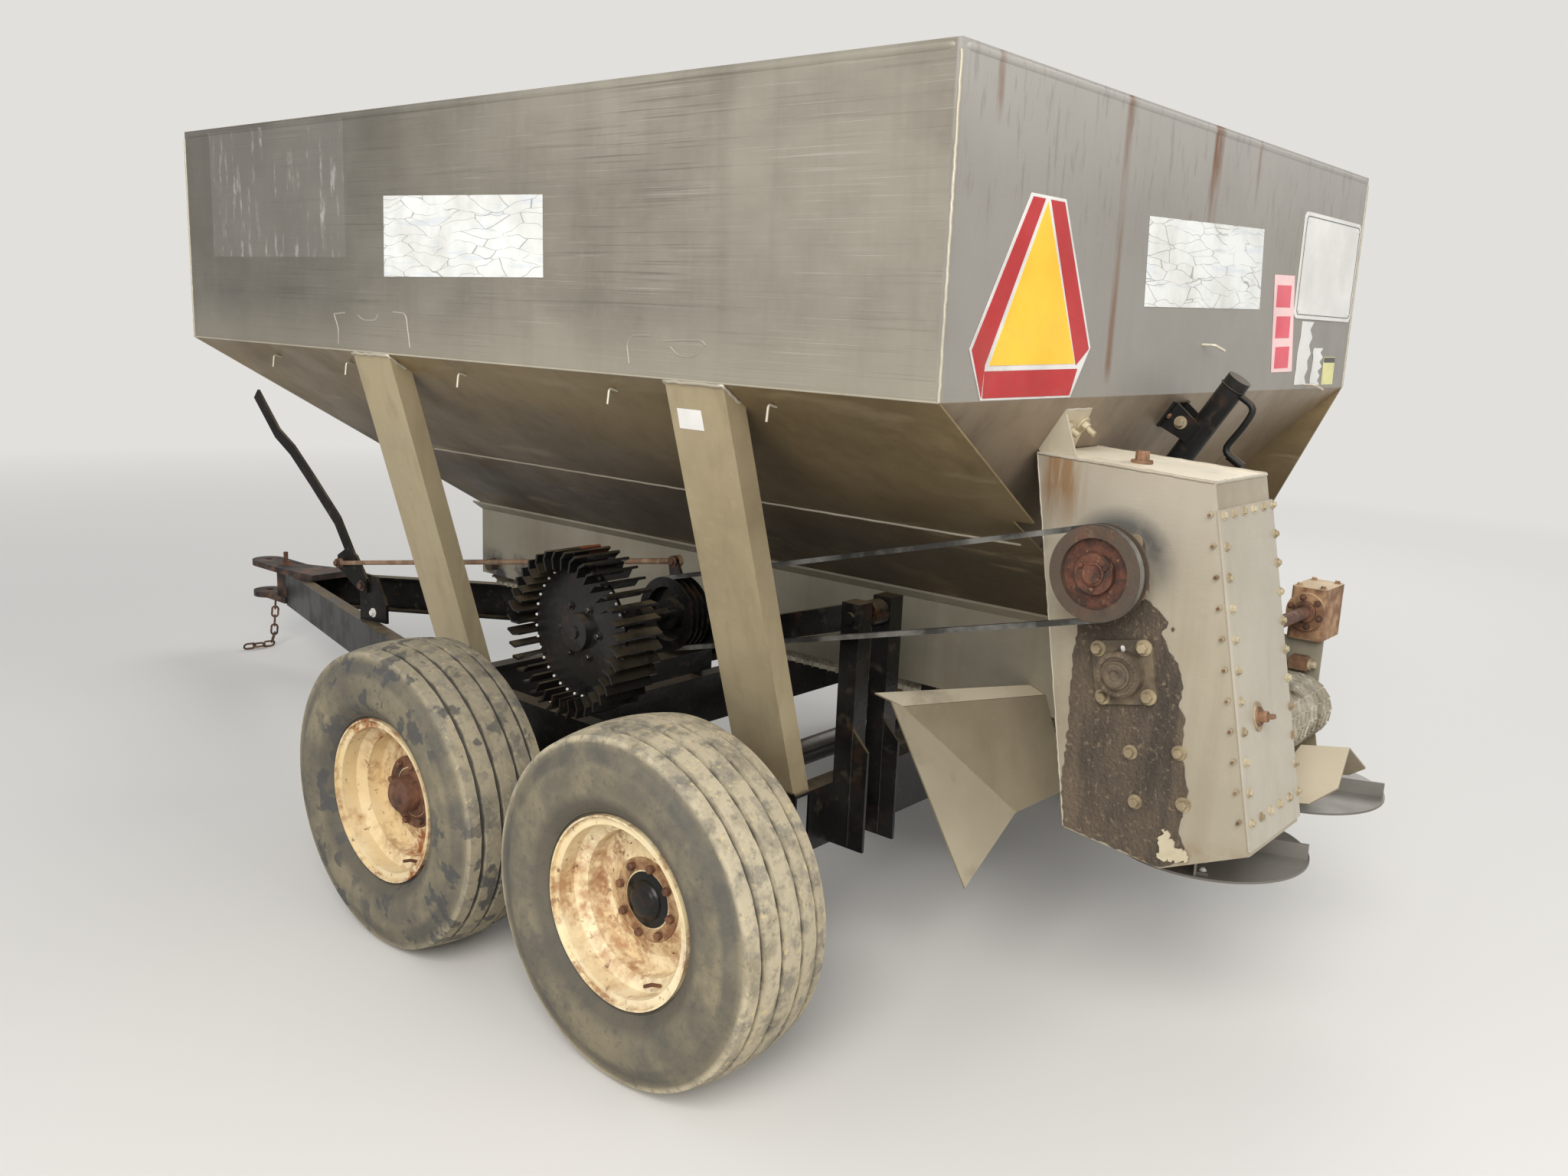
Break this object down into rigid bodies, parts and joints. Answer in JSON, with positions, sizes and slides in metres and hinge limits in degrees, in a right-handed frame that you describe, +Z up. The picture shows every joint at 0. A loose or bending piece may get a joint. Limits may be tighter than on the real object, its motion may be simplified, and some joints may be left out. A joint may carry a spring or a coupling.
{
  "type": "pull-type fertilizer spreader",
  "caption": "Towed spreader with a stainless hopper, floor conveyor, twin spinner discs, tandem wheels on walking beams and a cleated drive wheel with belt.",
  "frame": {"origin": "on the ground under the middle of the machine's bounding box", "axes": "+X to the machine's right, +Y forward towards the hitch, +Z up"},
  "size_m": [2.5592, 4.882, 2.073],
  "materials": {
    "stainless": "weathered stainless sheet, satin",
    "black_paint": "black paint, scuffed and dusty",
    "rusty_steel": "rusted steel and castings",
    "bare_steel": "worn bare steel",
    "rim_paint": "cream paint with rust",
    "tyre": "dusty tyre rubber",
    "belt_rubber": "worn belt"
  },
  "bodies": {
    "chassis": {"hopper_walls": "stainless", "side_slope_left": "stainless", "side_slope_right": "stainless", "front_slope": "stainless", "rear_slope": "stainless", "conveyor_sill_left": "stainless", "conveyor_sill_right": "stainless", "post_rear_left": "stainless", "post_rear_right": "stainless", "post_front_left": "stainless", "post_front_right": "stainless", "chain_case": "stainless", "case_cover": "stainless", "case_brackets": "stainless", "deflector_left": "stainless", "deflector_right": "stainless", "flow_divider": "stainless", "gate_guides": "stainless", "conveyor_chain": "stainless", "sill_legs": "stainless", "frame": "black_paint", "tongue": "black_paint", "hitch": "black_paint", "arm_uprights": "black_paint", "drive_arm": "black_paint", "axle_tube": "black_paint", "walking_beam_left": "black_paint", "walking_beam_right": "black_paint", "lever_plate": "black_paint", "drive_lever": "black_paint", "lever_rod": "black_paint", "gearbox": "rusty_steel", "spinner_bearing": "rusty_steel", "cross_shaft": "rusty_steel", "rear_roller": "rusty_steel", "front_roller": "rusty_steel", "safety_chain": "rusty_steel", "hitch_bolt": "rusty_steel", "case_bearings": "bare_steel", "gate_jack": "bare_steel", "gate_crank": "bare_steel", "drive_belt": "belt_rubber"},
    "drive_wheel": {"drive_wheel": "black_paint", "drive_pulley": "black_paint"},
    "case_pulley": {"case_pulley": "rusty_steel"},
    "spinner_left": {"spinner_left": "stainless"},
    "spinner_right": {"spinner_right": "stainless"},
    "feed_gate": {"feed_gate": "stainless"},
    "road_wheel_rear_left": {"wheel_rear_left": "rim_paint", "tyre_rear_left": "tyre"},
    "road_wheel_rear_right": {"wheel_rear_right": "rim_paint", "tyre_rear_right": "tyre"},
    "road_wheel_front_left": {"wheel_front_left": "rim_paint", "tyre_front_left": "tyre"},
    "road_wheel_front_right": {"wheel_front_right": "rim_paint", "tyre_front_right": "tyre"}
  },
  "joints": [
    {"name": "road_wheel_rear_left_spin", "type": "hinge", "parent": "chassis", "child": "road_wheel_rear_left", "pos_m": [-1.14, -1.384, 0.39], "axis": [1, 0, 0], "continuous": true},
    {"name": "road_wheel_rear_right_spin", "type": "hinge", "parent": "chassis", "child": "road_wheel_rear_right", "pos_m": [1.14, -1.384, 0.39], "axis": [1, 0, 0], "continuous": true},
    {"name": "road_wheel_front_left_spin", "type": "hinge", "parent": "chassis", "child": "road_wheel_front_left", "pos_m": [-1.14, -0.517, 0.39], "axis": [1, 0, 0], "continuous": true},
    {"name": "road_wheel_front_right_spin", "type": "hinge", "parent": "chassis", "child": "road_wheel_front_right", "pos_m": [1.14, -0.517, 0.39], "axis": [1, 0, 0], "continuous": true},
    {"name": "drive_wheel_spin", "type": "hinge", "parent": "chassis", "child": "drive_wheel", "pos_m": [-0.975, -0.943, 0.864], "axis": [1, 0, 0], "continuous": true},
    {"name": "case_pulley_spin", "type": "hinge", "parent": "chassis", "child": "case_pulley", "pos_m": [-0.66, -2.106, 1.155], "axis": [1, 0, 0], "continuous": true},
    {"name": "spinner_left_spin", "type": "hinge", "parent": "chassis", "child": "spinner_left", "pos_m": [-0.27, -2.226, 0.56], "axis": [0, 0, 1], "continuous": true},
    {"name": "spinner_right_spin", "type": "hinge", "parent": "chassis", "child": "spinner_right", "pos_m": [0.27, -2.226, 0.56], "axis": [0, 0, 1], "continuous": true},
    {"name": "feed_gate_slide", "type": "slide", "parent": "chassis", "child": "feed_gate", "axis": [0, -0.5362, 0.8441], "range_m": [0, 0.2]}
  ],
  "couplings": [
    {"joint": "case_pulley_spin", "follows": "drive_wheel_spin", "ratio": 1},
    {"joint": "spinner_right_spin", "follows": "spinner_left_spin", "ratio": -1}
  ]
}
